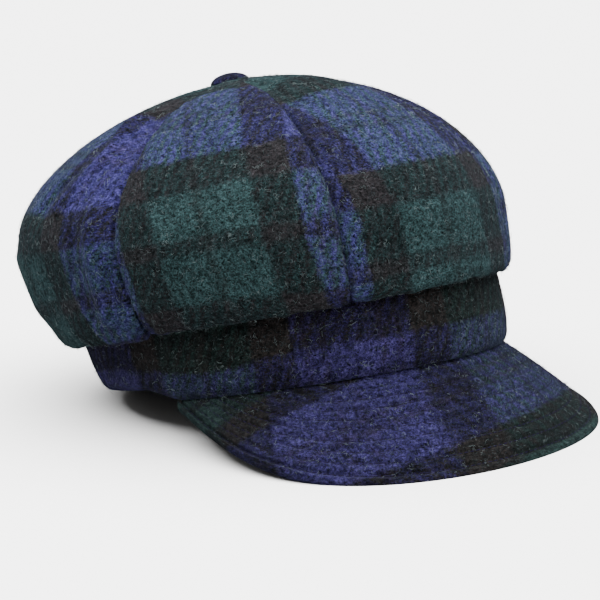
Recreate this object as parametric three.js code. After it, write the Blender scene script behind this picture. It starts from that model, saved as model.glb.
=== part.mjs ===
// A baker boy cap in woollen tweed: six crown gores, a headband, a peak and a cloth-covered top button.
// Millimetres, +Z up. The wearer's front looks along -Y and the wearer's left is +X.
// The cap stands as it rests on a table: on the rim of the peak and the back of the headband.
import * as THREE from 'three';

// Driving dimensions of the headband
const headLength = 200;
const headWidth = 163;
const bandHeight = 34;
const bandWall = 3.2;
const bandSwell = 1.6;
const bandEdgeRounding = 0.15;

// Driving dimensions of the crown, measured from the plane of the headband's lower edge
const crownHeight = 136;
const crownOverhang = 34;
const tipSetback = 19;
const clothWall = 2.2;
const tuckWall = 1.5;
const tuckFrom = 1.3;
const tuckTo = 1.75;
const goreCount = 6;
const seamPinch = 2.6;
const seamPinchWidth = 8;
const pinchAtTip = 0.16;
const crownFullness = 1.9;
const frontFullness = 0.22;
const crownFlatness = 1.75;

// Driving dimensions of the peak
const peakReach = 28;
const peakFlare = 29;
const peakSpan = 182;
const peakWall = 4;
const peakArch = 2.5;
const peakRootInset = 1.6;
const peakTipFullness = 4.4;
const peakRimRounding = 0.35;
const peakSideEnd = 0.98;

// Driving dimensions of the top button
const buttonDiameter = 18;
const buttonHeight = 5;
const buttonBack = 0.82;
const buttonEdge = 0.3;
const buttonSeat = 0.2;

// Clearances between neighbouring pieces, and how the cap rests
const seamGap = 0.35;
const bandGap = 0.4;
const restTilt = 12;
const restSettle = 1.4;

// How each form of the crown and band runs round the cap: mean + front * cos(angle) + ends * cos(2 angle).
// Lengths are shares of the size named in "of". The band's lean outwards and the turn of the tucked edge
// are in degrees, so theirs is 1.
const ROUND = {
  lean: { mean: 9, front: -10.5, ends: 2.5, of: 1 },
  tuckTurn: { mean: 54, front: -12, ends: -2, of: 1 },
  overhang: { mean: 0.64, front: -0.4, ends: -0.055, of: crownOverhang },
  widestHeight: { mean: 0.513, front: -0.073, ends: 0.005, of: crownHeight },
  sideFall: { mean: 0.092, front: 0.015, ends: 0.004, of: crownHeight },
  tuck: { mean: 0.455, front: -0.09, ends: -0.012, of: crownOverhang },
};

// How a hanging fold moves the lower handle of the crown's side curve, for each millimetre that it hangs,
// and how fast it comes in below the widest line.
const sagOut = 0.5;
const sagDown = 1.8;
const sagOnset = 2;

// How the gores differ: their names, and how far the lower fold hangs below the even line, as a share of
// the band height.
const GORES = [
  { name: 'crown_front', sag: 0 },
  { name: 'crown_left_front', sag: 0.02 },
  { name: 'crown_left_back', sag: 0.1 },
  { name: 'crown_back', sag: 0.12 },
  { name: 'crown_right_back', sag: 0.12 },
  { name: 'crown_right_front', sag: 0.02 },
];

// The length of cloth in one station, as a share of the crown height.
const stationLength = 0.8;

// Soft folds in the crown, each a ridge between two places on one gore. A place is degrees from the gore's
// middle and a station, which runs from the tip (0) over the widest line (1) to the headband (2). The
// ridge's height is a share of the cloth wall and its width a share of the overhang.
const FOLDS = [
  { gore: 'crown_right_back', from: [20, 0.35], to: [-8, 0.85], height: 1.2, width: 0.2 },
  { gore: 'crown_right_back', from: [24, 1.05], to: [20, 1.6], height: 0.7, width: 0.16 },
  { gore: 'crown_left_back', from: [-18, 0.4], to: [6, 0.9], height: 1.0, width: 0.22 },
  { gore: 'crown_back', from: [4, 1.0], to: [-6, 1.6], height: 0.8, width: 0.2 },
];

// Mesh steps
const bandSteps = 72;
const upperRows = 10;
const lowerRows = 8;
const peakColumns = 40;
const peakRows = 7;
const buttonSteps = 24;
const domeSteps = 7;
const GORE_COLUMNS = [-30, -28, -25, -20, -15, -10, -5, 0, 5, 10, 15, 20, 25, 28, 30];
const tipStation = 0.03;
const lowSwell = 0.7;
const derivativeStep = 1e-3;

const radians = Math.PI / 180;
const gorePitch = 360 / goreCount;
const columnPitch = 60;

const tweed = { color: 0x2c3a52, roughness: 0.95, metalness: 0 };

function round(form, angle) {
  const { mean, front, ends, of } = ROUND[form];
  return of * (mean + front * Math.cos(angle) + ends * Math.cos(2 * angle));
}

// Outer radius of the headband's lower edge at an angle from the front.
function edgeRadius(angle) {
  return 1 / Math.hypot(Math.sin(angle) / (headWidth / 2), Math.cos(angle) / (headLength / 2));
}

function outwards(angle, radius, height) {
  return new THREE.Vector3(Math.sin(angle) * radius, -Math.cos(angle) * radius, height);
}

// Outer face of the headband: share 0 is its lower edge and 1 its upper edge.
function bandRadius(angle, share) {
  const lean = round('lean', angle) * radians;
  const swell = bandSwell * Math.sin(Math.PI * Math.pow(share, lowSwell));
  return edgeRadius(angle) + share * bandHeight * Math.sin(lean) + swell;
}

function bandRise(angle, share) {
  return share * bandHeight * Math.cos(round('lean', angle) * radians);
}

function bezier(a, b, c, d, t) {
  const u = 1 - t;
  return u * u * u * a + 3 * u * u * t * b + 3 * u * t * t * c + t * t * t * d;
}

// Outer face of the crown without seams or folds, at an angle from the front and a station.
function crownForm(angle, station, sag) {
  const widest = edgeRadius(angle) + round('overhang', angle);
  const widestHeight = round('widestHeight', angle);
  if (station <= 1) {
    const reach = reachShare(angle, station);
    const rise = Math.pow(Math.abs(Math.cos(station * Math.PI / 2)), 2 / crownFlatness);
    const edge = outwards(angle, widest, widestHeight);
    return new THREE.Vector3(
      edge.x * reach,
      tipSetback + (edge.y - tipSetback) * reach,
      widestHeight + (crownHeight - widestHeight) * rise,
    );
  }
  const t = Math.min(station - 1, 1);
  const seamRadius = bandRadius(angle, 1) + bandGap;
  const seamHeight = bandRise(angle, 1);
  const tuck = round('tuck', angle);
  const turn = round('tuckTurn', angle) * radians;
  const hang = sag * bandHeight;
  const lowRadius = seamRadius + tuck * Math.cos(turn) + hang * sagOut;
  const lowHeight = seamHeight - tuck * Math.sin(turn) - hang * sagDown;
  const sideHeight = widestHeight - round('sideFall', angle);
  const radius = bezier(widest, widest, lowRadius, seamRadius, t);
  const height = bezier(widestHeight, sideHeight, lowHeight, seamHeight + bandGap, t);
  return outwards(angle, radius, height);
}

function crownNormal(angle, station, sag) {
  const s = Math.min(Math.max(station, tipStation), 2 - derivativeStep);
  const here = crownForm(angle, s, sag);
  const across = crownForm(angle + derivativeStep, s, sag).sub(here);
  const down = crownForm(angle, s + derivativeStep, sag).sub(here);
  return down.cross(across).normalize();
}

// How far out from the tip a station lies, as a share of the way to the widest line.
function reachShare(angle, station) {
  const turn = Math.min(station, 1) * Math.PI / 2;
  return Math.pow(Math.sin(turn), 2 / (crownFullness + frontFullness * Math.cos(angle)));
}

// The wall thins where the cloth rolls under to the headband.
function wallAt(station) {
  return THREE.MathUtils.lerp(clothWall, tuckWall, THREE.MathUtils.smoothstep(station, tuckFrom, tuckTo));
}

// How deep the cloth dips towards a seam, from the distance to it: least at the tip, none at the headband.
function pinch(distance, station) {
  const along = Math.sin(Math.PI * Math.min(1, pinchAtTip + station * (1 - pinchAtTip) / 2));
  return seamPinch * along * Math.exp(-Math.pow(distance / seamPinchWidth, 2));
}

// Height of the soft folds of one gore at a place on it.
function foldHeight(goreName, offset, station, radius) {
  let height = 0;
  for (const fold of FOLDS) {
    if (fold.gore !== goreName) {
      continue;
    }
    const flat = ([degrees, s]) => {
      return new THREE.Vector2(degrees * radians * radius, s * crownHeight * stationLength);
    };
    const start = flat(fold.from);
    const along = flat(fold.to).sub(start);
    const place = flat([offset, station]).sub(start);
    const share = THREE.MathUtils.clamp(place.dot(along) / along.lengthSq(), 0, 1);
    const distance = place.sub(along.multiplyScalar(share)).length();
    const width = fold.width * crownOverhang;
    height += fold.height * clothWall * Math.exp(-Math.pow(distance / width, 2));
  }
  return height;
}

// The cap as it rests: tipped back by the peak, with its lowest cloth pressed flat on the table.
function atRest(point) {
  const tilt = restTilt * radians;
  const lift = headLength / 2 * Math.sin(tilt) - restSettle;
  const y = point.y * Math.cos(tilt) + point.z * Math.sin(tilt);
  const z = point.z * Math.cos(tilt) - point.y * Math.sin(tilt) + lift;
  return new THREE.Vector3(point.x, y, Math.max(z, 0));
}

// A closed wall between two grids of points, an outer and an inner one, listed column by column.
function shell(outer, inner, rim) {
  const columns = outer.length;
  const rows = outer[0].length;
  const points = [];
  const faces = [];
  const add = (point) => points.push(atRest(point)) - 1;
  const top = outer.map((column) => column.map(add));
  const bottom = inner.map((column) => column.map(add));
  const quad = (a, b, c, d) => {
    faces.push(a, b, c);
    faces.push(a, c, d);
  };
  for (let i = 0; i + 1 < columns; i += 1) {
    for (let j = 0; j + 1 < rows; j += 1) {
      quad(top[i][j], top[i][j + 1], top[i + 1][j + 1], top[i + 1][j]);
      quad(bottom[i][j], bottom[i + 1][j], bottom[i + 1][j + 1], bottom[i][j + 1]);
    }
  }
  for (let j = 0; j + 1 < rows; j += 1) {
    quad(top[0][j], bottom[0][j], bottom[0][j + 1], top[0][j + 1]);
    const last = columns - 1;
    quad(top[last][j + 1], bottom[last][j + 1], bottom[last][j], top[last][j]);
  }
  const edge = rim ? rim.map(add) : null;
  for (let i = 0; i + 1 < columns; i += 1) {
    quad(top[i + 1][0], bottom[i + 1][0], bottom[i][0], top[i][0]);
    const end = rows - 1;
    if (edge) {
      quad(top[i][end], edge[i], edge[i + 1], top[i + 1][end]);
      quad(edge[i], bottom[i][end], bottom[i + 1][end], edge[i + 1]);
    } else {
      quad(top[i][end], bottom[i][end], bottom[i + 1][end], top[i + 1][end]);
    }
  }
  if (edge) {
    const end = rows - 1;
    const last = columns - 1;
    faces.push(top[0][end], bottom[0][end], edge[0]);
    faces.push(top[last][end], edge[last], bottom[last][end]);
  }
  return meshGeometry(points, faces);
}

function meshGeometry(points, faces) {
  const geometry = new THREE.BufferGeometry();
  const positions = points.flatMap((point) => [point.x, point.y, point.z]);
  geometry.setAttribute('position', new THREE.Float32BufferAttribute(positions, 3));
  geometry.setIndex(faces);
  return geometry;
}

function piece(name, geometry) {
  const mesh = new THREE.Mesh(geometry, new THREE.MeshStandardMaterial(tweed));
  mesh.name = name;
  return mesh;
}

// One wedge of the crown: a cloth wall from the tip over the widest line to the seam on the headband.
function gore(index) {
  const { name, sag } = GORES[index];
  const middle = index * gorePitch;
  const stations = [];
  for (let row = 0; row <= upperRows; row += 1) {
    stations.push(tipStation + (1 - tipStation) * row / upperRows);
  }
  for (let row = 1; row <= lowerRows; row += 1) {
    stations.push(1 + row / lowerRows);
  }
  const outer = [];
  const inner = [];
  for (const column of GORE_COLUMNS) {
    const side = Math.sign(column);
    const share = Math.abs(column) * 2 / columnPitch;
    const face = [];
    const back = [];
    for (const station of stations) {
      const nominal = (middle + side * share * gorePitch / 2) * radians;
      const radius = edgeRadius(nominal) + round('overhang', nominal);
      const reach = reachShare(nominal, station);
      const trim = seamGap / 2 / (radius * reach);
      const angle = nominal - side * share * trim;
      const toSeam = (1 - share) * gorePitch / 2 * radians * radius * reach;
      const bodySag = sag * Math.min(1, Math.max(0, station - 1) * sagOnset);
      const normal = crownNormal(angle, station, bodySag);
      const offset = side * share * gorePitch / 2;
      const lift = station < 2 ? foldHeight(name, offset, station, radius) - pinch(toSeam, station) : 0;
      const point = crownForm(angle, station, bodySag).addScaledVector(normal, lift);
      face.push(point);
      back.push(point.clone().addScaledVector(normal, -wallAt(station)));
    }
    outer.push(face);
    inner.push(back);
  }
  return piece(name, shell(outer, inner));
}

// The headband: a closed ring of cloth with rounded edges.
function headband() {
  const OUTER_SHARES = [0.07, 0.2, 0.38, 0.58, 0.78, 0.93];
  const INNER_SHARES = [0.93, 0.65, 0.35, 0.07];
  const points = [];
  const faces = [];
  let ring = 0;
  for (let step = 0; step < bandSteps; step += 1) {
    const angle = step / bandSteps * 2 * Math.PI;
    const section = [];
    for (const share of OUTER_SHARES) {
      section.push([bandRadius(angle, share), bandRise(angle, share)]);
    }
    section.push([bandRadius(angle, 1) - bandWall * bandEdgeRounding, bandRise(angle, 1)]);
    section.push([bandRadius(angle, 1) - bandWall * (1 - bandEdgeRounding), bandRise(angle, 1)]);
    for (const share of INNER_SHARES) {
      section.push([bandRadius(angle, share) - bandWall, bandRise(angle, share)]);
    }
    section.push([bandRadius(angle, 0) - bandWall * (1 - bandEdgeRounding), 0]);
    section.push([bandRadius(angle, 0) - bandWall * bandEdgeRounding, 0]);
    ring = section.length;
    for (const [radius, height] of section) {
      points.push(atRest(outwards(angle, radius, height)));
    }
  }
  for (let step = 0; step < bandSteps; step += 1) {
    const next = (step + 1) % bandSteps;
    for (let k = 0; k < ring; k += 1) {
      const after = (k + 1) % ring;
      const a = step * ring + k;
      const b = next * ring + k;
      const c = next * ring + after;
      const d = step * ring + after;
      faces.push(a, b, c);
      faces.push(a, c, d);
    }
  }
  return piece('headband', meshGeometry(points, faces));
}

// Upper face of the peak: across runs -1 to 1 from side to side, out runs 0 at the headband to 1 at the rim.
function peakForm(across, out) {
  const angle = across * peakSpan / 2 * radians;
  const root = outwards(angle, edgeRadius(angle) - peakRootInset, -bandGap);
  const corner = outwards(peakSpan / 2 * radians, edgeRadius(peakSpan / 2 * radians), 0);
  const turn = across * Math.PI / 2;
  const tilt = restTilt * radians;
  const rimX = corner.x * Math.sin(turn) + peakFlare * Math.sin(2 * turn);
  const rimY = corner.y - (headLength / 2 + peakReach + corner.y) * Math.cos(turn);
  const rimAbove = peakWall / 2;
  const floor = (rimY * Math.sin(tilt) - headLength / 2 * Math.sin(tilt) + rimAbove) / Math.cos(tilt);
  const rim = new THREE.Vector3(rimX, rimY, floor * (1 - Math.pow(Math.abs(across), peakTipFullness)));
  const point = root.lerp(rim, out);
  point.z += peakArch * 4 * out * (1 - out) * (1 - across * across);
  return point;
}

function peakNormal(across, out) {
  const here = peakForm(across, out);
  const side = peakForm(across + derivativeStep, out).sub(here);
  const ahead = peakForm(across, out + derivativeStep).sub(here);
  return ahead.cross(side).normalize();
}

// The stiffened peak: a wall of even thickness with a rounded rim.
function peak() {
  const outer = [];
  const inner = [];
  const rim = [];
  for (let column = 0; column <= peakColumns; column += 1) {
    const across = peakSideEnd * (2 * column / peakColumns - 1);
    const face = [];
    const back = [];
    for (let row = 0; row <= peakRows; row += 1) {
      const out = row / peakRows;
      const point = peakForm(across, out);
      const normal = peakNormal(across, Math.min(out, 1 - derivativeStep));
      face.push(point);
      back.push(point.clone().addScaledVector(normal, -peakWall));
    }
    outer.push(face);
    inner.push(back);
    const outermost = face[peakRows].clone().sub(face[peakRows - 1]).normalize();
    const middle = face[peakRows].clone().lerp(back[peakRows], 0.5);
    rim.push(middle.addScaledVector(outermost, peakWall * peakRimRounding));
  }
  return piece('peak', shell(outer, inner, rim));
}

// The cloth-covered button at the crown's tip: a low dome with a flat back.
function topButton() {
  const radius = buttonDiameter / 2;
  const profile = [new THREE.Vector2(0, 0), new THREE.Vector2(radius * buttonBack, 0)];
  for (let step = 0; step < domeSteps; step += 1) {
    const turn = (step / domeSteps) * Math.PI / 2;
    const rise = buttonEdge + (1 - buttonEdge) * Math.sin(turn);
    profile.push(new THREE.Vector2(radius * Math.cos(turn), buttonHeight * rise));
  }
  profile.push(new THREE.Vector2(0, buttonHeight));
  const points = [];
  const faces = [];
  const dip = pinch(buttonDiameter * buttonSeat, tipStation);
  const base = new THREE.Vector3(0, tipSetback, crownHeight - dip + bandGap);
  points.push(atRest(base));
  const rings = profile.slice(1, -1);
  for (const { x, y } of rings) {
    for (let step = 0; step < buttonSteps; step += 1) {
      const turn = step / buttonSteps * 2 * Math.PI;
      const offset = new THREE.Vector3(x * Math.cos(turn), x * Math.sin(turn), y);
      points.push(atRest(offset.add(base)));
    }
  }
  points.push(atRest(base.clone().setZ(base.z + buttonHeight)));
  const last = points.length - 1;
  const ringStart = (ring) => 1 + ring * buttonSteps;
  for (let step = 0; step < buttonSteps; step += 1) {
    const next = (step + 1) % buttonSteps;
    faces.push(0, ringStart(0) + next, ringStart(0) + step);
    for (let ring = 0; ring + 1 < rings.length; ring += 1) {
      const a = ringStart(ring) + step;
      const b = ringStart(ring) + next;
      const c = ringStart(ring + 1) + next;
      const d = ringStart(ring + 1) + step;
      faces.push(a, b, c);
      faces.push(a, c, d);
    }
    faces.push(ringStart(rings.length - 1) + step, ringStart(rings.length - 1) + next, last);
  }
  return piece('top_button', meshGeometry(points, faces));
}

const cap = new THREE.Group();
for (let index = 0; index < goreCount; index += 1) {
  cap.add(gore(index));
}
cap.add(headband());
cap.add(peak());
cap.add(topButton());

// The origin is the middle of the footprint, on the table.
const bounds = new THREE.Box3().setFromObject(cap);
const middle = bounds.getCenter(new THREE.Vector3());
cap.position.set(-middle.x, -middle.y, -bounds.min.z);
cap.updateMatrixWorld(true);

export default cap;
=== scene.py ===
"""Looks of a baker boy cap in brushed tartan tweed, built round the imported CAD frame.

Shape functions work in millimetres with the front along -Y; make_mesh() turns them into metres.
"""

import math

import bpy
import numpy as np
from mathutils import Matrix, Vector


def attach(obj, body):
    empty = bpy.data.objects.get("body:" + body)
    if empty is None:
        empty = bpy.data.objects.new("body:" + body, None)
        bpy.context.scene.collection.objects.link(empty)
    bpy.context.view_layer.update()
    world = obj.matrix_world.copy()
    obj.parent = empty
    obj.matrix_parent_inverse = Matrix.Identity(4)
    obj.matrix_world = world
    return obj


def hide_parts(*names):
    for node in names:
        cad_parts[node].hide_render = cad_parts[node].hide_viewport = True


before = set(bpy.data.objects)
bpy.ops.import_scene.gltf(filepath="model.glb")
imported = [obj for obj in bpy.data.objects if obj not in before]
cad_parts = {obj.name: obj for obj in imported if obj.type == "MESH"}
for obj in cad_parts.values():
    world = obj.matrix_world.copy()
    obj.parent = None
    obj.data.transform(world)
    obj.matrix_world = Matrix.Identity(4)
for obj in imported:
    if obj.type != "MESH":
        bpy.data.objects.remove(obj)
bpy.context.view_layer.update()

# Sizes in millimetres, the same as the CAD part's.
HEAD_LENGTH = 200.0
HEAD_WIDTH = 163.0
BAND_HEIGHT = 34.0
BAND_WALL = 3.2
BAND_SWELL = 1.6
LOW_SWELL = 0.7
CROWN_HEIGHT = 136.0
CROWN_OVERHANG = 34.0
TIP_SETBACK = 19.0
CLOTH_WALL = 2.2
TUCK_WALL = 1.5
TUCK_FROM = 1.3
TUCK_TO = 1.75
GORE_PITCH = 60.0
SEAM_PINCH = 2.6
SEAM_PINCH_WIDTH = 8.0
PINCH_AT_TIP = 0.16
CROWN_FULLNESS = 1.9
FRONT_FULLNESS = 0.22
CROWN_FLATNESS = 1.75
PEAK_REACH = 28.0
PEAK_FLARE = 29.0
PEAK_SPAN = 182.0
PEAK_WALL = 4.0
PEAK_ARCH = 2.5
PEAK_ROOT_INSET = 2.4
PEAK_TUCK = 0.5
PEAK_TIP_FULLNESS = 4.4
PEAK_SIDE_END = 0.98
BUTTON_DIAMETER = 18.0
BUTTON_HEIGHT = 5.0
BUTTON_SEAT = 0.2
BAND_GAP = 0.4
REST_TILT = math.radians(12)
REST_SETTLE = 1.4
SAG_OUT = 0.5
SAG_DOWN = 1.8
SAG_ONSET = 2.0
STATION_LENGTH = 0.8
TIP_STATION = 0.03
STEP = 1e-3
ORIGIN = (0.041782, -6.618454)
MM = 0.001

# Sizes that only show: open seam gap, relief of the cloth, topstitching.
SEAM_SHOWN = 0.08
TIP_RISE = 2.2
TIP_RISE_REACH = 13.0
BUTTON_SINK = 1.3
EDGE_LIFT = 0.17
EASE_REACH = 55.0
EASE_LIFT = 9.5
EASE_SPREAD = 0.25
TOP_DRAW = 0.82
STITCH_SPACING = 5.6
EDGE_SEAM = 3.4
GROOVE_DEPTH = 0.6
GROOVE_WIDTH = 0.9
STITCH_LENGTH = 2.3
STITCH_PITCH = 3.1
STITCH_THICKNESS = 0.34
STITCH_ROWS = 8
FIBRE_LENGTH = (2.0, 6.0)
FIBRE_RISE = (0.1, 0.9)
FIBRE_RADIUS = 0.045
FIBRE_STEPS = 5
FIBRES_PER_GORE = 2500
BAND_FIBRES = 2200
PEAK_FIBRES = 1800
BUTTON_FIBRES = 40

# How each form runs round the cap: mean, front, ends, and the size that they are shares of.
ROUND = {
    "lean": (9, -10.5, 2.5, 1),
    "tuck_turn": (54, -12, -2, 1),
    "overhang": (0.64, -0.4, -0.055, CROWN_OVERHANG),
    "widest_height": (0.513, -0.073, 0.005, CROWN_HEIGHT),
    "side_fall": (0.092, 0.015, 0.004, CROWN_HEIGHT),
    "tuck": (0.455, -0.09, -0.012, CROWN_OVERHANG),
}

# Each gore: name, hang of the lower fold, and where its cloth was cut: the green stripe's centre
# across from the gore's middle, the black row's start down from the tip, its lean off the grain.
GORES = [
    ("crown_front", 0.0, -4.0, 130.0, 0.0),
    ("crown_left_front", 0.02, 3.0, 104.0, -0.03),
    ("crown_left_back", 0.1, -2.0, 112.0, 0.04),
    ("crown_back", 0.12, 5.0, 122.0, 0.0),
    ("crown_right_back", 0.12, -18.0, 115.0, 0.0),
    ("crown_right_front", 0.02, -5.1, 96.5, 0.12),
]

# Soft folds: gore, places (degrees from its middle, station) along the ridge, height, width in mm.
FOLDS = [
    ("crown_right_back", [(20, 0.35), (-8, 0.85)], 1.4, 7.0),
    ("crown_right_back", [(15, 0.38), (18, 0.47), (18, 0.55), (15, 0.65), (9, 0.78)], 3.0, 5.5),
    ("crown_right_back", [(7, 0.42), (8, 0.5), (6, 0.62), (0, 0.78)], -2.2, 4.5),
    ("crown_right_back", [(26, 0.42), (25, 0.7)], -1.0, 5.0),
    ("crown_right_back", [(-15, 1.15), (-15, 1.4)], 3.2, 13.0),
    ("crown_right_back", [(23.5, 0.8), (24, 1.05), (22, 1.5)], 2.6, 3.8),
    ("crown_right_back", [(17.5, 0.9), (16.5, 1.5)], -1.8, 4.0),
    ("crown_left_back", [(-18, 0.4), (6, 0.9)], 2.2, 7.5),
    ("crown_left_back", [(-22, 0.9), (-16, 1.5)], 1.2, 6.0),
    ("crown_back", [(4, 1.0), (-6, 1.6)], 1.8, 7.0),
    ("crown_back", [(-16, 0.5), (-10, 1.1)], 1.1, 8.0),
    ("crown_front", [(-20, 0.14), (-6, 0.2), (12, 0.24)], 1.5, 13.0),
    ("crown_front", [(-24, 0.2), (-21, 0.45), (-22, 0.7)], -1.1, 7.0),
    ("crown_right_front", [(25, 0.14), (25, 0.4), (26, 0.62)], 1.1, 6.0),
    ("crown_left_front", [(12, 0.5), (20, 1.0)], 1.0, 9.0),
]

# The viewpoint, matched to the photograph.
CAMERA_AT = (-0.89254, -0.90101, 0.32026)
CAMERA_AIM = (-0.00521, -0.00808, 0.05263)
CAMERA_ROLL = -1.05
CAMERA_LENS = 169.65
SENSOR = 36.0

# The studio: floor, even room light and a broad light overhead.
FLOOR_REACH = 6.0
FLOOR_COLOUR = (0.45, 0.45, 0.45, 1.0)
ROOM_STRENGTH = 0.55
OVERHEAD_STRENGTH = 36.0
OVERHEAD_SPREAD = math.radians(100)
OVERHEAD_TILT = math.radians(6)


def round_form(form, angle):
    mean, front, ends, of = ROUND[form]
    return of * (mean + front * np.cos(angle) + ends * np.cos(2 * angle))


def edge_radius(angle):
    return 1 / np.hypot(np.sin(angle) / (HEAD_WIDTH / 2), np.cos(angle) / (HEAD_LENGTH / 2))


def outwards(angle, radius, height):
    angle, radius, height = np.broadcast_arrays(angle, radius, height)
    return np.stack([np.sin(angle) * radius, -np.cos(angle) * radius, height], -1)


def band_radius(angle, share):
    lean = np.radians(round_form("lean", angle))
    swell = BAND_SWELL * np.sin(np.pi * np.power(share, LOW_SWELL))
    return edge_radius(angle) + share * BAND_HEIGHT * np.sin(lean) + swell


def band_rise(angle, share):
    return share * BAND_HEIGHT * np.cos(np.radians(round_form("lean", angle)))


def bezier(a, b, c, d, t):
    u = 1 - t
    return u**3 * a + 3 * u * u * t * b + 3 * u * t * t * c + t**3 * d


def smooth(x, low, high):
    t = np.clip((x - low) / (high - low), 0, 1)
    return t * t * (3 - 2 * t)


def unit(v):
    return v / np.linalg.norm(v, axis=-1, keepdims=True)


def ripple(x, seed):
    """A smooth wandering curve between about -1 and 1, the same on every run."""
    total = 0
    for k, share in enumerate((0.5, 0.3, 0.2)):
        rate = 1 + 0.73 * k + 0.11 * math.sin(seed * 3.7 + k)
        total = total + share * np.sin(x * rate + seed * (2.3 + 1.9 * k))
    return total


def reach_share(angle, station):
    turn = np.minimum(station, 1) * np.pi / 2
    return np.power(np.sin(turn), 2 / (CROWN_FULLNESS + FRONT_FULLNESS * np.cos(angle)))


def crown_form(angle, station, sag):
    """Outer face of the crown without seams or folds, at an angle from the front and a station."""
    angle, station, sag = np.broadcast_arrays(
        np.asarray(angle, float), np.asarray(station, float), np.asarray(sag, float)
    )
    widest = edge_radius(angle) + round_form("overhang", angle)
    widest_height = round_form("widest_height", angle)
    reach = reach_share(angle, station)
    rise = np.power(np.abs(np.cos(np.minimum(station, 1) * np.pi / 2)), 2 / CROWN_FLATNESS)
    edge = outwards(angle, widest, widest_height)
    upper = np.stack(
        [
            edge[..., 0] * reach,
            TIP_SETBACK + (edge[..., 1] - TIP_SETBACK) * reach,
            widest_height + (CROWN_HEIGHT - widest_height) * rise,
        ],
        -1,
    )
    t = np.clip(station - 1, 0, 1)
    seam_radius = band_radius(angle, 1) + BAND_GAP
    seam_height = band_rise(angle, 1)
    tuck = round_form("tuck", angle)
    turn = np.radians(round_form("tuck_turn", angle))
    hang = sag * BAND_HEIGHT
    low_radius = seam_radius + tuck * np.cos(turn) + hang * SAG_OUT
    low_height = seam_height - tuck * np.sin(turn) - hang * SAG_DOWN
    side_height = widest_height - round_form("side_fall", angle)
    radius = bezier(widest, widest, low_radius, seam_radius, t)
    height = bezier(widest_height, side_height, low_height, seam_height + BAND_GAP, t)
    return np.where((station <= 1)[..., None], upper, outwards(angle, radius, height))


def crown_normal(angle, station, sag):
    s = np.clip(station, TIP_STATION, 2 - STEP)
    here = crown_form(angle, s, sag)
    across = crown_form(angle + STEP, s, sag) - here
    down = crown_form(angle, s + STEP, sag) - here
    return unit(np.cross(down, across))


def at_rest(points):
    """The cap as it rests: tipped back by the peak, its lowest cloth pressed flat on the table."""
    lift = HEAD_LENGTH / 2 * math.sin(REST_TILT) - REST_SETTLE
    x, y, z = points[..., 0], points[..., 1], points[..., 2]
    along = y * math.cos(REST_TILT) + z * math.sin(REST_TILT)
    up = z * math.cos(REST_TILT) - y * math.sin(REST_TILT) + lift
    return np.stack([x + ORIGIN[0], along + ORIGIN[1], np.maximum(up, 0)], -1)


def make_mesh(name, points, faces, cloth, material, node=None, sett=None):
    """A smooth mesh piece that rides on the cap. cloth is where each vertex lies on the flat cloth.

    sett places the stripes where they don't follow the nap's own scale.
    """
    mesh = bpy.data.meshes.new(name)
    faces = np.asarray(faces, np.int32)
    size = faces.shape[1]
    mesh.vertices.add(len(points))
    mesh.vertices.foreach_set("co", (np.asarray(points) * MM).astype(np.float32).ravel())
    mesh.loops.add(faces.size)
    mesh.loops.foreach_set("vertex_index", faces.ravel())
    mesh.polygons.add(len(faces))
    mesh.polygons.foreach_set("loop_start", np.arange(len(faces), dtype=np.int32) * size)
    mesh.polygons.foreach_set("use_smooth", np.ones(len(faces), bool))
    mesh.update(calc_edges=True)
    mesh.validate()
    for layer, places in (("cloth", cloth), ("sett", cloth if sett is None else sett)):
        place = mesh.attributes.new(layer, "FLOAT_VECTOR", "POINT")
        place.data.foreach_set("vector", np.asarray(places, np.float32).ravel())
    mesh.materials.append(material)
    piece = bpy.data.objects.new(name, mesh)
    bpy.context.scene.collection.objects.link(piece)
    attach(piece, "root")
    if node:
        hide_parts(node)
    return piece


def grid_faces(columns, rows, start=0, flip=False):
    i = np.arange(columns - 1)[:, None]
    j = np.arange(rows - 1)[None, :]
    a = start + i * rows + j
    b = start + i * rows + j + 1
    c = start + (i + 1) * rows + j + 1
    d = start + (i + 1) * rows + j
    order = [a, d, c, b] if flip else [a, b, c, d]
    return np.stack([np.broadcast_to(x, a.shape) for x in order], -1).reshape(-1, 4)


def strip(one, other, flip=False):
    """Faces between two rows of vertex numbers."""
    one, other = np.asarray(one), np.asarray(other)
    quads = [one[:-1], other[:-1], other[1:], one[1:]]
    if flip:
        quads = quads[::-1]
    return np.stack(quads, -1)


def shell(outer, inner, cloth):
    """A closed wall between two grids of points."""
    columns, rows = outer.shape[:2]
    count = columns * rows
    number = np.arange(count).reshape(columns, rows)
    faces = [
        grid_faces(columns, rows),
        grid_faces(columns, rows, count, flip=True),
        strip(number[0] + count, number[0]),
        strip(number[-1], number[-1] + count),
        strip(number[:, 0], number[:, 0] + count),
        strip(number[:, -1] + count, number[:, -1]),
    ]
    points = np.concatenate([outer.reshape(-1, 3), inner.reshape(-1, 3)])
    flat = cloth.reshape(-1, 3)
    return points, np.concatenate(faces), np.concatenate([flat, flat])


# Materials


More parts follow.
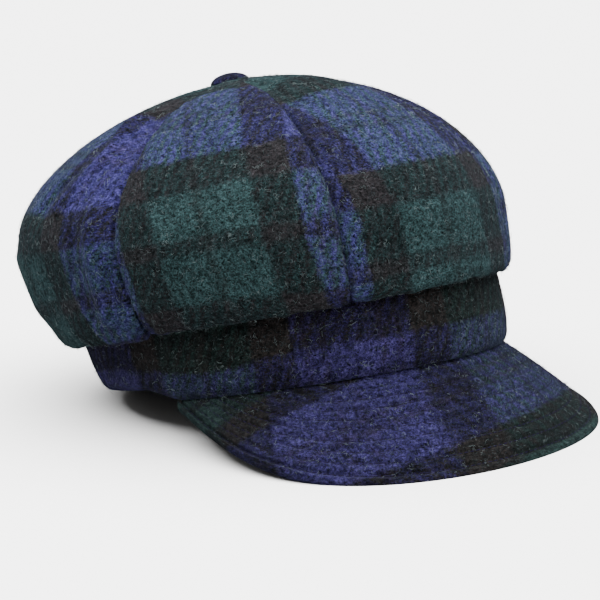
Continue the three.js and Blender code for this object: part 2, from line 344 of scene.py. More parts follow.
class Nodes:
    """Short names for building one material's node tree."""

    def __init__(self, name):
        self.material = bpy.data.materials.new(name)
        self.material.use_nodes = True
        self.tree = self.material.node_tree
        self.shader = self.tree.nodes["Principled BSDF"]

    def put(self, socket, value):
        if isinstance(value, bpy.types.NodeSocket):
            self.tree.links.new(value, socket)
        else:
            socket.default_value = value

    def add(self, kind, inputs=(), **settings):
        node = self.tree.nodes.new(kind)
        for key, value in settings.items():
            setattr(node, key, value)
        for key, value in dict(inputs).items():
            self.put(node.inputs[key], value)
        return node

    def math(self, operation, *values):
        node = self.add("ShaderNodeMath", operation=operation)
        for socket, value in zip(node.inputs, values):
            self.put(socket, value)
        return node.outputs[0]

    def noise(self, vector, scale, detail=2.0, roughness=0.5, distortion=0.0):
        inputs = {
            "Vector": vector,
            "Scale": scale,
            "Detail": detail,
            "Roughness": roughness,
            "Distortion": distortion,
        }
        return self.add("ShaderNodeTexNoise", inputs)

    def mix(self, factor, a, b, blend="MIX"):
        node = self.add("ShaderNodeMix", data_type="RGBA", blend_type=blend, clamp_factor=True)
        self.put(node.inputs[0], factor)
        self.put(node.inputs[6], a)
        self.put(node.inputs[7], b)
        return node.outputs[2]

    def fit(self, value, low, high, to_low, to_high):
        inputs = {"Value": value, 1: low, 2: high, 3: to_low, 4: to_high}
        return self.add("ShaderNodeMapRange", inputs).outputs[0]


# Yarn colours, linear. Where yarns of unlike fourth numbers cross, the cloth is darker: the black
# is fine and dense, and hides part of a coloured yarn.
NAVY = (0.0082, 0.0072, 0.0270, 1.0)
GREEN = (0.0048, 0.0094, 0.0098, 1.0)
DULL = (0.0044, 0.0062, 0.0064, 0.6)
DULL_BLACK = (0.0043, 0.0046, 0.0050, 0.3)
BLACK = (0.0042, 0.0038, 0.0042, 0.0)
LINE = (0.0062, 0.0050, 0.0145, 1.0)
LINT = (0.031, 0.041, 0.043, 1.0)
BLACK_HIDES = 0.35

# The order of stripes, from the middle of one blue group to the next one's: yarn, width in mm.
WARP_STRIPES = [
    (NAVY, 1.8), (LINE, 3.4), (NAVY, 20.0), (BLACK, 18.5), (GREEN, 22.2), (DULL, 4.0),
    (GREEN, 22.2), (BLACK, 18.5), (NAVY, 3.8), (LINE, 3.4), (NAVY, 3.8), (LINE, 3.4), (NAVY, 10.8),
]
WEFT_STRIPES = [
    (NAVY, 1.8), (LINE, 3.4), (NAVY, 20.0), (BLACK, 18.5), (GREEN, 22.0), (DULL_BLACK, 7.0),
    (GREEN, 22.5), (BLACK, 18.5), (NAVY, 3.8), (LINE, 3.4), (NAVY, 3.8), (LINE, 3.4), (NAVY, 10.8),
]
STRIPE_EDGE = 2.6
TWILL_WIDTH = 11.5
TWILL_STEEPNESS = 2.0
TWILL_CONTRAST = 0.4
WIDE_DRIFT = 3.2
FINE_DRIFT = 3.4


def stripe_centre(stripes, yarn_index):
    """How far the middle of a stripe lies from the start of the order."""
    return sum(w for _, w in stripes[:yarn_index]) + stripes[yarn_index][1] / 2


def stripes_at(nodes, place, stripes):
    """Yarn colour at a distance across the cloth, in mm, from the middle of a blue group."""
    span = sum(width for _, width in stripes)
    share = nodes.math("DIVIDE", nodes.math("PINGPONG", place, span), span)
    ramp = nodes.add("ShaderNodeValToRGB")
    nodes.put(ramp.inputs[0], share)
    stops = ramp.color_ramp.elements
    soft = STRIPE_EDGE / 2 / span
    marks = [(0.0, stripes[0][0])]
    edge = 0
    for (yarn, width), (after, _) in zip(stripes, stripes[1:]):
        edge += width / span
        marks += [(edge - soft, yarn), (edge + soft, after)]
    marks.append((1.0, stripes[-1][0]))
    stops[0].position, stops[0].color = marks[0]
    stops[1].position, stops[1].color = marks[-1]
    for position, colour in marks[1:-1]:
        stops.new(position).color = colour
    return ramp.outputs


def tweed(name, tone_and_painted_shade=1.0, grain=1.0, weft_bias=0.0, cast=(1.0, 1.0, 1.0, 1.0)):
    """Brushed, fulled tartan tweed. The second argument scales its brightness, and the band's lower
    value there is painted shade; cast tints it.

    grain is +1 where the twill leans one way and -1 the other. weft_bias shows more of the weft.
    """
    n = Nodes(name)
    cloth = n.add("ShaderNodeAttribute", attribute_name="cloth").outputs["Vector"]
    wide = n.noise(cloth, 0.11, 2.0)
    fine = n.noise(cloth, 0.75, 3.0, 0.6)
    sett = n.add("ShaderNodeAttribute", attribute_name="sett").outputs["Vector"]
    parts = n.add("ShaderNodeSeparateXYZ", {0: sett}).outputs
    split = [
        n.add("ShaderNodeSeparateColor", {0: x.outputs["Color"]}).outputs for x in (wide, fine)
    ]
    moved = []
    for axis in range(2):
        drift = n.math("MULTIPLY_ADD", split[0][axis], WIDE_DRIFT, parts[axis])
        drift = n.math("MULTIPLY_ADD", split[1][axis], FINE_DRIFT, drift)
        moved.append(n.math("SUBTRACT", drift, (WIDE_DRIFT + FINE_DRIFT) / 2))
    warp = stripes_at(n, moved[0], WARP_STRIPES)
    weft = stripes_at(n, moved[1], WEFT_STRIPES)
    # Twill: steep diagonal ribs, broken up by the fulling.
    lean = n.math("MULTIPLY_ADD", moved[0], TWILL_STEEPNESS * grain, moved[1])
    twill = n.math("SINE", n.math("MULTIPLY", lean, 2 * math.pi / TWILL_WIDTH))
    broken = n.noise(cloth, 0.13, 2.0)
    twill = n.math("MULTIPLY", twill, n.fit(broken.outputs[0], 0.38, 0.62, 0.15, 1.0))
    grainy = n.noise(cloth, 1.05, 3.0, 0.75)
    share = n.fit(grainy.outputs[0], 0.36, 0.64, 0.05 + weft_bias, 0.95 + weft_bias)
    share = n.math("MULTIPLY_ADD", twill, TWILL_CONTRAST, share)
    colour = n.mix(share, warp[0], weft[0])
    unlike = n.math("ABSOLUTE", n.math("SUBTRACT", warp[1], weft[1]))
    kept = n.math("MULTIPLY_ADD", unlike, -BLACK_HIDES, 1.0)
    colour = n.mix(1.0, n.mix(1.0, colour, kept, "MULTIPLY"), cast, "MULTIPLY")
    # Mottling of the nap, partly the cloth's own uneven colour and partly painted light and shade:
    # tufts are painted lighter, as if catching the light, and the hollows between them painted
    # nearly black.
    clump = n.noise(cloth, 0.40, 4.0, 0.7, 0.4)
    speck = n.noise(cloth, 1.35, 3.0, 0.8, 0.7)
    value = n.fit(clump.outputs[0], 0.36, 0.66, 0.4 * tone_and_painted_shade, 1.7 * tone_and_painted_shade)
    value = n.math("MULTIPLY", value, n.fit(speck.outputs[0], 0.36, 0.68, 0.02, 2.4))
    patch = n.noise(cloth, 0.06, 2.0)
    value = n.math("MULTIPLY", value, n.fit(patch.outputs[0], 0.3, 0.7, 0.86, 1.16))
    colour = n.mix(1.0, colour, value, "MULTIPLY")
    # Curled surface fibres are thin level lines of a noise.
    lines = []
    for scale, width, seed in ((0.42, 0.012, 11.0), (0.6, 0.011, 47.0), (0.3, 0.006, 83.0)):
        shift = {0: cloth, 1: (seed, -seed, seed)}
        moved_on = n.add("ShaderNodeVectorMath", shift, operation="ADD")
        curl = n.noise(moved_on.outputs[0], scale, 1.5, 0.6, 1.2)
        off = n.math("ABSOLUTE", n.math("SUBTRACT", curl.outputs[0], 0.5))
        lines.append(n.fit(off, 0.0, width, 1.0, 0.0))
    line = n.math("MAXIMUM", n.math("MAXIMUM", lines[0], lines[1]), lines[2])
    where = n.noise(cloth, 0.5, 2.0, 0.6)
    line = n.math("MULTIPLY", line, n.fit(where.outputs[0], 0.45, 0.72, 0.0, 0.3))
    colour = n.mix(line, colour, LINT)
    n.put(n.shader.inputs["Base Color"], colour)
    n.put(n.shader.inputs["Roughness"], 0.92)
    n.put(n.shader.inputs["Specular IOR Level"], 0.0)
    n.put(n.shader.inputs["Sheen Weight"], 0.015)
    n.put(n.shader.inputs["Sheen Roughness"], 0.45)
    n.put(n.shader.inputs["Sheen Tint"], (0.55, 0.66, 0.78, 1.0))
    # Relief: nap, clumps, twill and loose curls.
    rise = n.math("MULTIPLY_ADD", speck.outputs[0], 0.7, n.math("MULTIPLY", clump.outputs[0], 0.9))
    rise = n.math("MULTIPLY_ADD", twill, 0.05, rise)
    rise = n.math("MULTIPLY_ADD", line, 0.5, rise)
    inputs = {"Strength": 0.75, "Distance": 0.0011, "Height": rise}
    n.put(n.shader.inputs["Normal"], n.add("ShaderNodeBump", inputs).outputs[0])
    return n.material


def yarn(name, colour, roughness=0.85, sheen=0.3, pale=None):
    """Thread or loose fibre. With a pale colour, single fibres vary up to it."""
    n = Nodes(name)
    if pale:
        place = n.add("ShaderNodeAttribute", attribute_name="cloth").outputs["Vector"]
        vary = n.noise(place, 0.22, 1.0)
        colour = n.mix(n.fit(vary.outputs[0], 0.45, 0.72, 0.0, 1.0), colour, pale)
    n.put(n.shader.inputs["Base Color"], colour)
    n.put(n.shader.inputs["Roughness"], roughness)
    n.put(n.shader.inputs["Specular IOR Level"], 0.0)
    n.put(n.shader.inputs["Sheen Weight"], sheen)
    return n.material


CROWN_CLOTH = tweed("tweed_crown")
# The band's brightness of 0.68 is painted shade: the whole band is darkened as if shaded by the
# crown above it.
BAND_CLOTH = tweed("tweed_band", 0.68, -1.0, cast=(1.08, 1.0, 0.88, 1.0))
PEAK_CLOTH = tweed("tweed_peak", 0.64, -1.0, 0.12, (0.98, 0.94, 0.84, 1.0))
BUTTON_CLOTH = tweed("tweed_button", 0.7)
LOOSE_WOOL = yarn(
    "loose_wool", (0.0062, 0.0090, 0.0110, 1.0), 0.9, 0.02, (0.066, 0.083, 0.083, 1.0)
)
SEWING_THREAD = yarn("sewing_thread", (0.006, 0.005, 0.012, 1.0), 0.7, 0.0)

GREEN_ACROSS = stripe_centre(WARP_STRIPES, 5)
BLACK_ROW = sum(w for _, w in WEFT_STRIPES[:3])


# Crown


def fold_height(name, offset, station, radius):
    height = np.zeros(np.broadcast(offset, station, radius).shape)
    run = CROWN_HEIGHT * STATION_LENGTH
    for gore_name, places, rise, width in FOLDS:
        if gore_name != name:
            continue
        nearest = np.full(height.shape, 1e9)
        for (deg_a, s_a), (deg_b, s_b) in zip(places, places[1:]):
            ax = math.radians(deg_a) * radius
            bx = math.radians(deg_b) * radius
            ay, by = s_a * run, s_b * run
            px, py = np.radians(offset) * radius, station * run
            dx, dy = bx - ax, by - ay
            t = np.clip(((px - ax) * dx + (py - ay) * dy) / (dx * dx + dy * dy), 0, 1)
            nearest = np.minimum(nearest, np.hypot(px - ax - t * dx, py - ay - t * dy))
        height = height + rise * np.exp(-((nearest / width) ** 2))
    return height


def gore_relief(index, offset, station, radius, to_seam):
    """How far the cloth stands out from the crown's form: seams, folds, puckers and slack."""
    name = GORES[index][0]
    side = np.sign(offset)
    down = station * CROWN_HEIGHT * STATION_LENGTH
    across = np.radians(offset) * radius
    along = np.sin(np.pi * np.minimum(1, PINCH_AT_TIP + station * (1 - PINCH_AT_TIP) / 2))
    height = -SEAM_PINCH * along * np.exp(-((to_seam / SEAM_PINCH_WIDTH) ** 2))
    height = height + fold_height(name, offset, station, radius)
    # The seam allowance pressed open below lifts the cloth beside the seam.
    height = height + 0.45 * np.exp(-(((to_seam - 6.5) / 2.6) ** 2)) * smooth(station, 0.1, 0.3)
    # The seam's own line is sharper than the pinch.
    height = height - 2.2 * np.exp(-((to_seam / 1.0) ** 2)) * smooth(station, 0.3, 0.5)
    # The cloth is drawn up under the button.
    from_tip = reach_share(np.radians(offset), station) * radius
    height = height + TIP_RISE * np.exp(-((from_tip / TIP_RISE_REACH) ** 2))
    seam = index * 2 + (side > 0)
    pucker = ripple(down / 2.1 + 3 * np.sin(seam), 1.7) * np.exp(-((to_seam / 8.0) ** 2))
    height = height + 0.42 * pucker * smooth(station, 0.15, 0.4)
    # Slack over the whole gore, and small gathers where the crown is eased into the headband.
    slack = ripple(across / 13.0 + down / 31.0, index + 0.4) * ripple(down / 17.0, index + 5.1)
    height = height + 0.55 * slack * smooth(station, 0.2, 0.5)
    gather = ripple(across / 3.6, index + 9.3)
    height = height + 0.55 * gather * smooth(station, 1.35, 1.7)
    return height * (1 - smooth(station, 1.93, 2.0))


def build_gore(index):
    name, sag, green, black_row, off_grain = GORES[index]
    middle = index * GORE_PITCH
    lean = np.linspace(-1, 1, 101)
    share = np.abs(np.sin(lean * math.pi / 2 * 0.86) / math.sin(math.pi / 2 * 0.86))
    side = np.sign(lean)
    stations = np.concatenate([np.linspace(TIP_STATION, 1, 92), np.linspace(1, 2, 66)[1:]])
    share, side, station = share[:, None], side[:, None], stations[None, :]
    offset = side * share * GORE_PITCH / 2
    nominal = np.radians(middle + offset)
    radius = edge_radius(nominal) + round_form("overhang", nominal)
    reach = reach_share(nominal, station)
    trim = SEAM_SHOWN / 2 / (radius * reach)
    angle = nominal - side * share * trim
    to_seam = (1 - share) * math.radians(GORE_PITCH / 2) * radius * reach
    hang = sag * np.minimum(1, np.maximum(0, station - 1) * SAG_ONSET)
    normal = crown_normal(angle, station, hang)
    plain = crown_form(angle, station, hang)
    wide_offset, wide_station, wide_radius = np.broadcast_arrays(offset, station, radius)
    lift = gore_relief(index, wide_offset, wide_station, wide_radius, to_seam)
    outer = plain + normal * lift[..., None]
    wall = CLOTH_WALL + (TUCK_WALL - CLOTH_WALL) * smooth(station, TUCK_FROM, TUCK_TO)
    inner = outer - normal * np.broadcast_to(wall, lift.shape)[..., None]
    # Where the cloth lies flat: across from the gore's middle line, and down from the tip.
    steps = np.linalg.norm(np.diff(plain, axis=0), axis=-1)
    run = np.concatenate([np.zeros((1, steps.shape[1])), np.cumsum(steps, 0)])
    centre = len(lean) // 2
    spine = plain[centre]
    ahead = unit(np.gradient(spine, axis=0))
    fall = np.concatenate([[0], np.cumsum(np.linalg.norm(np.diff(spine, axis=0), axis=-1))])
    fall = fall + np.linalg.norm(spine[0] - np.array([0, TIP_SETBACK, CROWN_HEIGHT]))
    u = run - run[centre] - green + GREEN_ACROSS
    v = fall[None, :] + ((plain - spine[None]) * ahead[None]).sum(-1) - black_row + BLACK_ROW
    # The sewn edges are eased, so the rows spread apart towards the seams.
    near_seam = np.minimum(((run - run[centre]) / EASE_REACH) ** 2, 1.2)
    v = v + near_seam * (EASE_LIFT - EASE_SPREAD * np.clip(v - BLACK_ROW, -30, 60))
    v = np.where(v < BLACK_ROW, BLACK_ROW + (v - BLACK_ROW) * TOP_DRAW, v)
    u = u - off_grain * (v - BLACK_ROW - 40.0)
    cloth = np.stack([u, v, np.full(u.shape, 37.0 * index)], -1)
    points, faces, flat = shell(at_rest(outer), at_rest(inner), cloth)
    make_mesh("cloth_" + name, points, faces, flat, CROWN_CLOTH, name)
    return at_rest(outer)


# Headband


def build_band():
    steps = 420
    angle = np.arange(steps)[:, None] / steps * 2 * np.pi
    # The section runs up the outer face, over the top, down inside and round the lower fold.
    rise = 0.5 - 0.5 * np.cos(np.linspace(0.16, math.pi, 34))
    turned = np.degrees(np.abs((angle + np.pi) % (2 * np.pi) - np.pi))
    low = EDGE_LIFT * smooth(turned, 86, 104) * (1 - smooth(turned, 135, 172))
    outer_share = low + (1 - low) * rise[None, :]
    radius = band_radius(angle, outer_share)
    girth = outwards(angle[:, 0], radius[:, 16], 0)
    around = np.cumsum(np.linalg.norm(np.diff(girth, axis=0), axis=-1))
    around = np.concatenate([[0], around])
    total = around[-1] + np.linalg.norm(girth[-1] - girth[0])
    around = np.where(around > total / 2, around - total, around)
    edge = 0.9 * np.exp(-((rise[None, :] / 0.06) ** 2))
    wave = 0.35 * ripple(around[:, None] / 15, 2.2) * np.sin(np.pi * outer_share)
    wrinkle = 0.3 * ripple(around[:, None] / 3.1, 6.4) * smooth(outer_share, 0.55, 0.95)
    radius = radius - edge + wave + wrinkle
    outer = outwards(angle, radius, band_rise(angle, outer_share))
    inner_share = low + (1 - low) * np.linspace(0.97, 0.05, 14)[None, :]
    inner_radius = band_radius(angle, inner_share) - BAND_WALL
    inner = outwards(angle, inner_radius, band_rise(angle, inner_share))
    turn = np.linspace(0.25, 0.75, 3)[None, :]
    fold_radius = band_radius(angle, low) - BAND_WALL * turn
    fold = outwards(angle, fold_radius, band_rise(angle, low) - 0.35 * np.sin(np.pi * turn) + 0.3)
    ring = np.concatenate([outer, inner, fold], 1)
    rows = ring.shape[1]
    steps_down = np.linalg.norm(np.diff(ring, axis=1), axis=-1)
    drop = np.concatenate([np.zeros((steps, 1)), np.cumsum(steps_down, 1)], 1) + low * BAND_HEIGHT
    # The black row covers the band's upper half and dips where the band was eased in.
    u = (around + 124.0) / 1.03 + GREEN_ACROSS
    dip = 4.5 * np.exp(-(((around[:, None] + 125.0) / 32.0) ** 2))
    v = BLACK_ROW - 16.0 + dip + drop
    cloth = np.stack(
        [
            u[:, None] + 0 * drop,
            v + 0.6 * ripple(around[:, None] / 40, 3.0),
            np.full((steps, rows), 301.0),
        ],
        -1,
    )
    points = at_rest(ring)
    # The cloth coordinate would run backwards over one face where the round closes, so it is cut.
    seam = int(np.argmax(np.abs(np.diff(around)) > total / 2)) + 1
    order = np.roll(np.arange(steps), -seam)
    points, cloth = points[order], cloth[order]
    last = cloth[:1].copy()
    last[..., 0] += total / 1.03
    points = np.concatenate([points, points[:1]])
    cloth = np.concatenate([cloth, last])
    number = np.arange((steps + 1) * rows).reshape(steps + 1, rows)
    faces = [grid_faces(steps + 1, rows, flip=True)]
    faces.append(
        np.stack([number[:-1, -1], number[1:, -1], number[1:, 0], number[:-1, 0]], -1)[:, ::-1]
    )
    faces = np.concatenate(faces)
    make_mesh("cloth_headband", points.reshape(-1, 3), faces, cloth.reshape(-1, 3), BAND_CLOTH,
              "headband")
    return points[:, : len(rise)]


# Peak


def peak_form(across, out):
    across, out = np.broadcast_arrays(np.asarray(across, float), np.asarray(out, float))
    half = math.radians(PEAK_SPAN / 2)
    angle = across * half
    root = outwards(angle, edge_radius(angle) - PEAK_ROOT_INSET, PEAK_TUCK)
    corner = outwards(half, edge_radius(half), 0.0)
    turn = across * np.pi / 2
    rim_x = corner[0] * np.sin(turn) + PEAK_FLARE * np.sin(2 * turn)
    rim_y = corner[1] - (HEAD_LENGTH / 2 + PEAK_REACH + corner[1]) * np.cos(turn)
    tilt = REST_TILT
    above = rim_y * math.sin(tilt) - HEAD_LENGTH / 2 * math.sin(tilt) + PEAK_WALL / 2
    floor = above / math.cos(tilt)
    rim = np.stack([rim_x, rim_y, floor * (1 - np.abs(across) ** PEAK_TIP_FULLNESS)], -1)
    point = root + (rim - root) * out[..., None]
    arch = PEAK_ARCH * 4 * out * (1 - out) * (1 - across**2)
    return point + np.stack([0 * arch, 0 * arch, arch], -1)


def peak_normal(across, out):
    here = peak_form(across, out)
    side = peak_form(across + STEP, out) - here
    ahead = peak_form(across, out + STEP) - here
    return unit(np.cross(ahead, side))


# The peak's cloth: how its stripes narrow as it is drawn round, where the middle of a blue group
# lies round from the front, and the blue row's edge: its least depth, where that is, its bend.
PEAK_DRAW = 0.68
PEAK_BLUE = -68.7
PEAK_ROW_DEPTH = -14.0
PEAK_ROW_PLACE = 30.0
PEAK_ROW_BEND = 510.0


def peak_places(across, out):
    """Points of the peak's upper face, and the height of its topstitched relief."""
    plain = peak_form(across, out)
    length = np.linalg.norm(peak_form(across, 1.0) - peak_form(across, 0.0), axis=-1)
    inward = (1 - out) * length
    row = (inward - EDGE_SEAM) / STITCH_SPACING
    nearest = np.abs(row - np.maximum(np.round(row), 0)) * STITCH_SPACING
    width = np.where(row < 0.5, GROOVE_WIDTH * 1.25, GROOVE_WIDTH)
    depth = np.where(row < 0.5, GROOVE_DEPTH * 1.7, GROOVE_DEPTH)
    side = smooth(np.abs(across), 0.35, 0.8)
    relief = -depth * (1 + 0.5 * side * (row < 0.5)) * np.exp(-((nearest / width) ** 2))
    roll = np.exp(-(((inward - 1.2) / 1.4) ** 2))
    relief = relief + (0.35 + 0.9 * side) * roll
    return plain, relief


def build_peak():
    columns, rows = 301, 84
    across = PEAK_SIDE_END * np.linspace(-1, 1, columns)[:, None]
    out = (np.linspace(0, 1, rows) ** 0.9)[None, :]
    plain, relief = peak_places(across, out)
    normal = peak_normal(across, np.minimum(out, 1 - STEP))
    upper = plain + normal * relief[..., None]
    lower = plain - normal * PEAK_WALL
    ahead = unit(upper[:, -1] - upper[:, -4])
    rims = []
    for turn in np.linspace(0, math.pi, 9)[1:-1]:
        middle = (upper[:, -1] + lower[:, -1]) / 2
        arm = (upper[:, -1] - lower[:, -1]) / 2
        dent = 1 - 0.28 * math.exp(-(((turn - 1.9) / 0.25) ** 2))
        reach = PEAK_WALL * 0.42 * math.sin(turn) * dent
        rims.append(middle + arm * math.cos(turn) * dent + ahead * reach)
    lower_rows = np.concatenate([lower[:, ::-4][:, :-1], lower[:, :1]], 1)
    ring = np.concatenate([upper, np.stack(rims, 1), lower_rows], 1)
    count = ring.shape[1]
    number = np.arange(columns * count).reshape(columns, count)
    faces = [grid_faces(columns, count)]
    faces.append(np.stack([number[:-1, -1], number[:-1, 0], number[1:, 0], number[1:, -1]], -1))
    middle_line = peak_form(across[:, 0], 0.5)
    run = np.concatenate([[0], np.cumsum(np.linalg.norm(np.diff(middle_line, axis=0), axis=-1))])
    run = run - run[columns // 2]
    step = np.linalg.norm(np.diff(ring, axis=1), axis=-1)
    down = np.concatenate([np.zeros((columns, 1)), np.cumsum(step, 1)], 1)
    bend = (run[:, None] - PEAK_ROW_PLACE) ** 2 / PEAK_ROW_BEND
    row = down - PEAK_ROW_DEPTH - bend + 0 * run[:, None]
    round_the_peak = PEAK_DRAW * (run[:, None] - PEAK_BLUE) + 0 * row
    sett = np.stack([round_the_peak, row - BLACK_ROW, 0 * row], -1)
    cloth = np.stack([run[:, None] + 0 * down, down, np.full(down.shape, 407.0)], -1)
    ends = []
    for column, flip in ((0, True), (columns - 1, False)):
        loop = number[column]
        half = len(loop) // 2
        one = loop[:half]
        other = loop[::-1][:half]
        ends.append(strip(one, other, flip))
    faces = np.concatenate(faces + ends)
    make_mesh("cloth_peak", at_rest(ring).reshape(-1, 3), faces, cloth.reshape(-1, 3), PEAK_CLOTH,
              "peak", sett.reshape(-1, 3))
    return at_rest(upper)


def tubes(paths, radius, sides=3):
    """Thin closed tubes along many paths of the same number of points."""
    paths = np.asarray(paths, float)
    count, steps = paths.shape[:2]
    ahead = unit(np.gradient(paths, axis=1) + 1e-9)
    helper = np.where(np.abs(ahead[..., 2:]) < 0.9, [[[0, 0, 1.0]]], [[[1.0, 0, 0]]])
    one = unit(np.cross(ahead, helper))
    two = np.cross(ahead, one)
    taper = np.sqrt(np.clip(np.sin(np.linspace(0.12, math.pi - 0.12, steps)), 0, 1))[None, :, None]
    rings = []
    for k in range(sides):
        turn = 2 * math.pi * k / sides
        rings.append(paths + radius * taper * (one * math.cos(turn) + two * math.sin(turn)))
    points = np.stack(rings, 2)
    number = np.arange(count * steps * sides).reshape(count, steps, sides)
    faces = []
    for k in range(sides):
        after = (k + 1) % sides
        faces.append(
            np.stack(
                [
                    number[:, :-1, k], number[:, :-1, after],
                    number[:, 1:, after], number[:, 1:, k],
                ],
                -1,
            ).reshape(-1, 4)
        )
    return points.reshape(-1, 3), np.concatenate(faces)


def build_stitches():
    paths = []
    for row in range(STITCH_ROWS):
        inward = EDGE_SEAM + row * STITCH_SPACING
        across = np.linspace(-0.97, 0.97, 1500) * PEAK_SIDE_END
        length = np.linalg.norm(peak_form(across, 1.0) - peak_form(across, 0.0), axis=-1)
        keep = inward < length - 0.5
        out = np.where(keep, 1 - inward / length, 0)
        line = peak_form(across, out)
        normal = peak_normal(across, out)
        sink = GROOVE_DEPTH * (1.7 if row == 0 else 1.0) - STITCH_THICKNESS * 0.35
        line = line - normal * sink
        run = np.concatenate([[0], np.cumsum(np.linalg.norm(np.diff(line, axis=0), axis=-1))])
        start = 0.4 * row
        while start + STITCH_LENGTH < run[-1]:
            at = start + np.linspace(0, STITCH_LENGTH, 4)
            index = np.searchsorted(run, at)
            if keep[index].all():
                stitch = np.stack([np.interp(at, run, line[:, k]) for k in range(3)], -1)
                bow = np.sin(np.linspace(0, math.pi, 4))[:, None] * 0.16
                paths.append(stitch + normal[index] * bow)
            start += STITCH_PITCH
    points, faces = tubes(paths, STITCH_THICKNESS / 2, 4)
    points = at_rest(points)
    make_mesh("peak_topstitching", points, faces, points, SEWING_THREAD)


# Top button


def build_button():
    steps, rings = 72, 26
    turn = np.arange(steps + 1)[:, None] / steps * 2 * np.pi
    rise = np.linspace(0, 1, rings)[None, :] ** 0.85
    half = BUTTON_DIAMETER / 2
    lift = rise * math.pi / 2
    radius = half * np.cos(lift)
    gather = 0.28 * np.sin(9 * turn + 0.6 * np.sin(2 * turn)) * np.exp(-((rise / 0.35) ** 2))
    height = BUTTON_HEIGHT * (0.12 + 0.88 * np.sin(lift))
    dome = np.stack(
        [(radius + gather) * np.cos(turn), (radius + gather) * np.sin(turn), height + 0 * turn], -1
    )
    under = np.stack(
        [half * 0.82 * np.cos(turn), half * 0.82 * np.sin(turn), 0 * turn + 0.05], -1
    )
    middle = np.zeros_like(under) + [0, 0, 0.05]
    ring = np.concatenate([middle, under, dome], 1)
    along = np.sin(math.pi * min(1, PINCH_AT_TIP + TIP_STATION * (1 - PINCH_AT_TIP) / 2))
    dip = SEAM_PINCH * along * math.exp(-((BUTTON_DIAMETER * BUTTON_SEAT / SEAM_PINCH_WIDTH) ** 2))
    base = np.array([0, TIP_SETBACK, CROWN_HEIGHT - dip + BAND_GAP + TIP_RISE - BUTTON_SINK - 1.5])
    cloth = np.stack([ring[..., 0] + 34.0, ring[..., 1], 0 * ring[..., 0] + 503.0], -1)
    count = ring.shape[1]
    faces = grid_faces(steps + 1, count, flip=True)
    make_mesh("cloth_top_button", at_rest(ring + base).reshape(-1, 3), faces, cloth.reshape(-1, 3),
              BUTTON_CLOTH, "top_button")
    return at_rest(ring[:, 2:] + base)


# Loose wool


def loose_fibres(name, surface, count, seed):
    """Curled fibres that lie on and stand off a grid of surface points."""
    rng = np.random.default_rng(seed)
    columns, rows = surface.shape[:2]
    d_i = np.gradient(surface, axis=0)
    d_j = np.gradient(surface, axis=1)
    normal = unit(np.cross(d_j, d_i) + 1e-12)
    area = np.linalg.norm(np.cross(d_i, d_j), axis=-1)
    weight = area[2:-2, 2:-2].ravel() / area[2:-2, 2:-2].sum()
    chosen = rng.choice(len(weight), count, p=weight)
    i = chosen // (rows - 4) + 2
    j = chosen % (rows - 4) + 2
    origin = surface[i, j]
    n = normal[i, j]
    t = unit(d_i[i, j])
    b = np.cross(n, t)
    steps = FIBRE_STEPS
    heading = rng.uniform(0, 2 * math.pi, (count, 1))
    bend = rng.normal(0, 1.6, (count, 1))
    wobble = rng.normal(0, 0.8, (count, 1))
    share = np.linspace(0, 1, steps)[None, :]
    size = rng.uniform(*FIBRE_LENGTH, (count, 1)) * rng.uniform(0.5, 1, (count, 1))
    way = heading + bend * share * 1.8 + wobble * np.sin(share * 6)
    dx = np.cumsum(np.cos(way), 1) * size / steps
    dy = np.cumsum(np.sin(way), 1) * size / steps
    high = rng.uniform(*FIBRE_RISE, (count, 1))
    up = 0.02 + high * np.sin(share * math.pi * rng.uniform(0.5, 1.0, (count, 1)))
    paths = (
        origin[:, None]
        + t[:, None] * dx[..., None]
        + b[:, None] * dy[..., None]
        + n[:, None] * up[..., None]
    )
    points, faces = tubes(paths, FIBRE_RADIUS)
    points[:, 2] = np.maximum(points[:, 2], 0.02)
    make_mesh(name, points, faces, points, LOOSE_WOOL)


for gore_index in range(len(GORES)):
    grid = build_gore(gore_index)
    wool = "wool_" + GORES[gore_index][0]
    loose_fibres(wool, grid, FIBRES_PER_GORE, 100 + gore_index)
band_grid = build_band()
loose_fibres("wool_headband", band_grid[:, ::-1], BAND_FIBRES, 200)
peak_grid = build_peak()
loose_fibres("wool_peak", peak_grid, PEAK_FIBRES, 300)
build_stitches()
button_grid = build_button()
loose_fibres("wool_top_button", button_grid[:, ::-1], BUTTON_FIBRES, 400)


# Studio


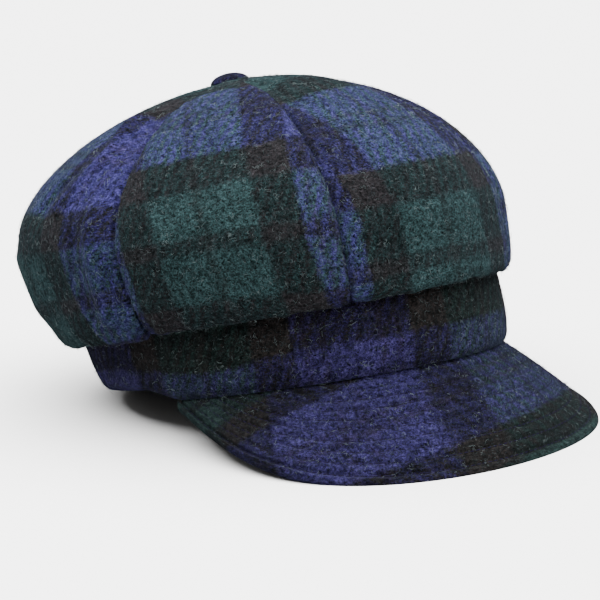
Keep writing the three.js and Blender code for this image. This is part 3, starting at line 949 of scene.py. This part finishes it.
def soft_light(name, at, aim, size, power):
    data = bpy.data.lights.new(name, "AREA")
    data.shape = "DISK"
    data.size = size
    data.energy = power
    lamp = bpy.data.objects.new(name, data)
    bpy.context.scene.collection.objects.link(lamp)
    lamp.location = at
    lamp.rotation_mode = "QUATERNION"
    lamp.rotation_quaternion = (Vector(aim) - Vector(at)).to_track_quat("-Z", "Y")


floor_mesh = bpy.data.meshes.new("floor")
reach = FLOOR_REACH
corners = [(-reach, -reach, 0), (reach, -reach, 0), (reach, reach, 0), (-reach, reach, 0)]
floor_mesh.from_pydata(corners, [], [(0, 1, 2, 3)])
floor = bpy.data.objects.new("floor", floor_mesh)
bpy.context.scene.collection.objects.link(floor)
paper = Nodes("pale_floor")
paper.put(paper.shader.inputs["Base Color"], FLOOR_COLOUR)
paper.put(paper.shader.inputs["Roughness"], 0.9)
floor_mesh.materials.append(paper.material)

world = bpy.data.worlds.new("studio")
world.use_nodes = True
world.node_tree.nodes["Background"].inputs["Color"].default_value = (1.0, 1.0, 1.0, 1.0)
world.node_tree.nodes["Background"].inputs["Strength"].default_value = ROOM_STRENGTH
bpy.context.scene.world = world
sky = bpy.data.lights.new("overhead", "SUN")
sky.energy = OVERHEAD_STRENGTH
sky.angle = OVERHEAD_SPREAD
sky_lamp = bpy.data.objects.new("overhead", sky)
bpy.context.scene.collection.objects.link(sky_lamp)
sky_lamp.rotation_euler = (OVERHEAD_TILT, 0, 0)
soft_light("front_side", (0.5, -1.6, 1.2), (0, 0, 0.05), 0.9, 3.0)

camera_data = bpy.data.cameras.new("camera")
camera_data.lens = CAMERA_LENS
camera_data.sensor_width = SENSOR
camera_data.clip_start = 0.05
camera_data.clip_end = 50.0
camera = bpy.data.objects.new("camera", camera_data)
bpy.context.scene.collection.objects.link(camera)
camera.location = CAMERA_AT
camera.rotation_mode = "QUATERNION"
aim = (Vector(CAMERA_AIM) - Vector(CAMERA_AT)).to_track_quat("-Z", "Y")
camera.rotation_quaternion = aim
camera.rotation_mode = "XYZ"
camera.rotation_euler.rotate_axis("Z", math.radians(CAMERA_ROLL))
bpy.context.scene.camera = camera
